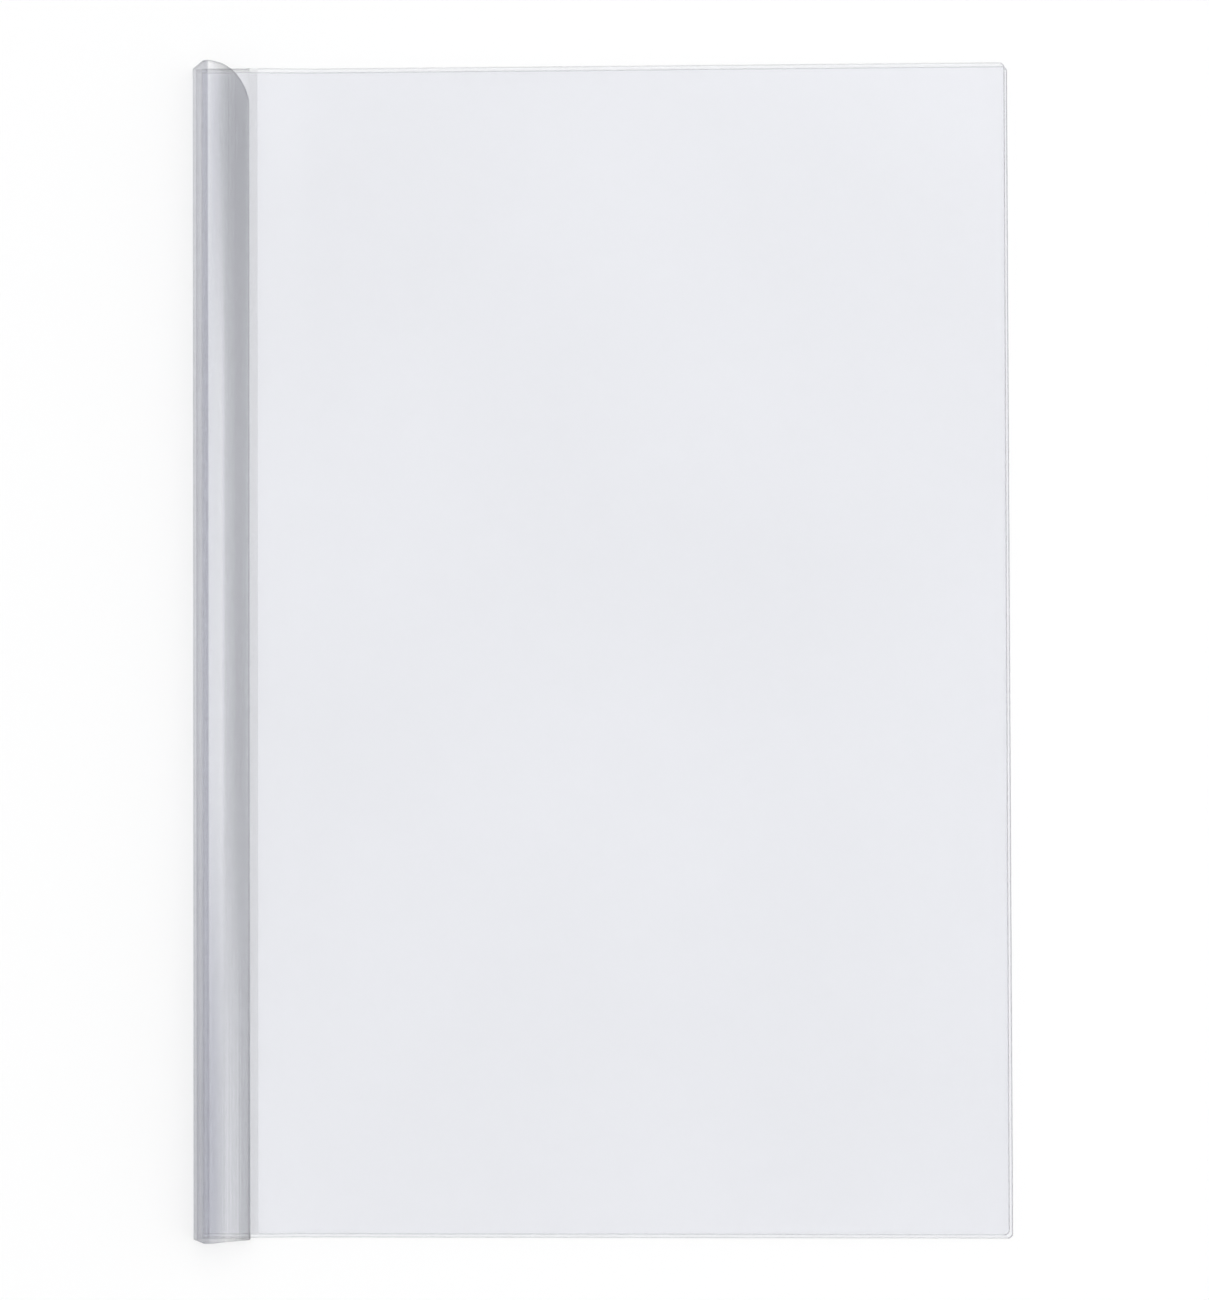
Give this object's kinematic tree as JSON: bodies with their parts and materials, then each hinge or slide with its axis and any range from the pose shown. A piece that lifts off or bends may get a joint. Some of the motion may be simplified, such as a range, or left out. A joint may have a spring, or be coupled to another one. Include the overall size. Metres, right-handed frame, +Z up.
{
  "type": "clip folder",
  "caption": "A4 clip folder: a clear film sheet folded into front and back covers, gripped along the fold by a translucent triangular slide-on clip bar.",
  "frame": {"origin": "middle of the folder's footprint, on the plane it lies on", "axes": "+X from the clip bar to the covers' free edge, +Y along the bar towards its end with the rounded corner, +Z up out of the front cover"},
  "size_m": [0.216, 0.31, 0.0111],
  "materials": {
    "bar_plastic": "smooth extruded translucent plastic with faint lines along its length",
    "back_film": "smooth clear film with a faint haze",
    "clear_film": "glossy clear film"
  },
  "bodies": {
    "back": {"back_cover": "back_film"},
    "front": {"front_cover": "clear_film"},
    "bar": {"clip_bar": "bar_plastic"}
  },
  "joints": [
    {"name": "front_cover_opens", "type": "hinge", "parent": "back", "child": "front", "pos_m": [-0.0917, 0, 0.0016], "axis": [0, -1, 0], "range_deg": [0, 130]},
    {"name": "clip_bar_slides_off", "type": "slide", "parent": "back", "child": "bar", "axis": [0, -1, 0], "range_m": [0, 0.312]}
  ]
}
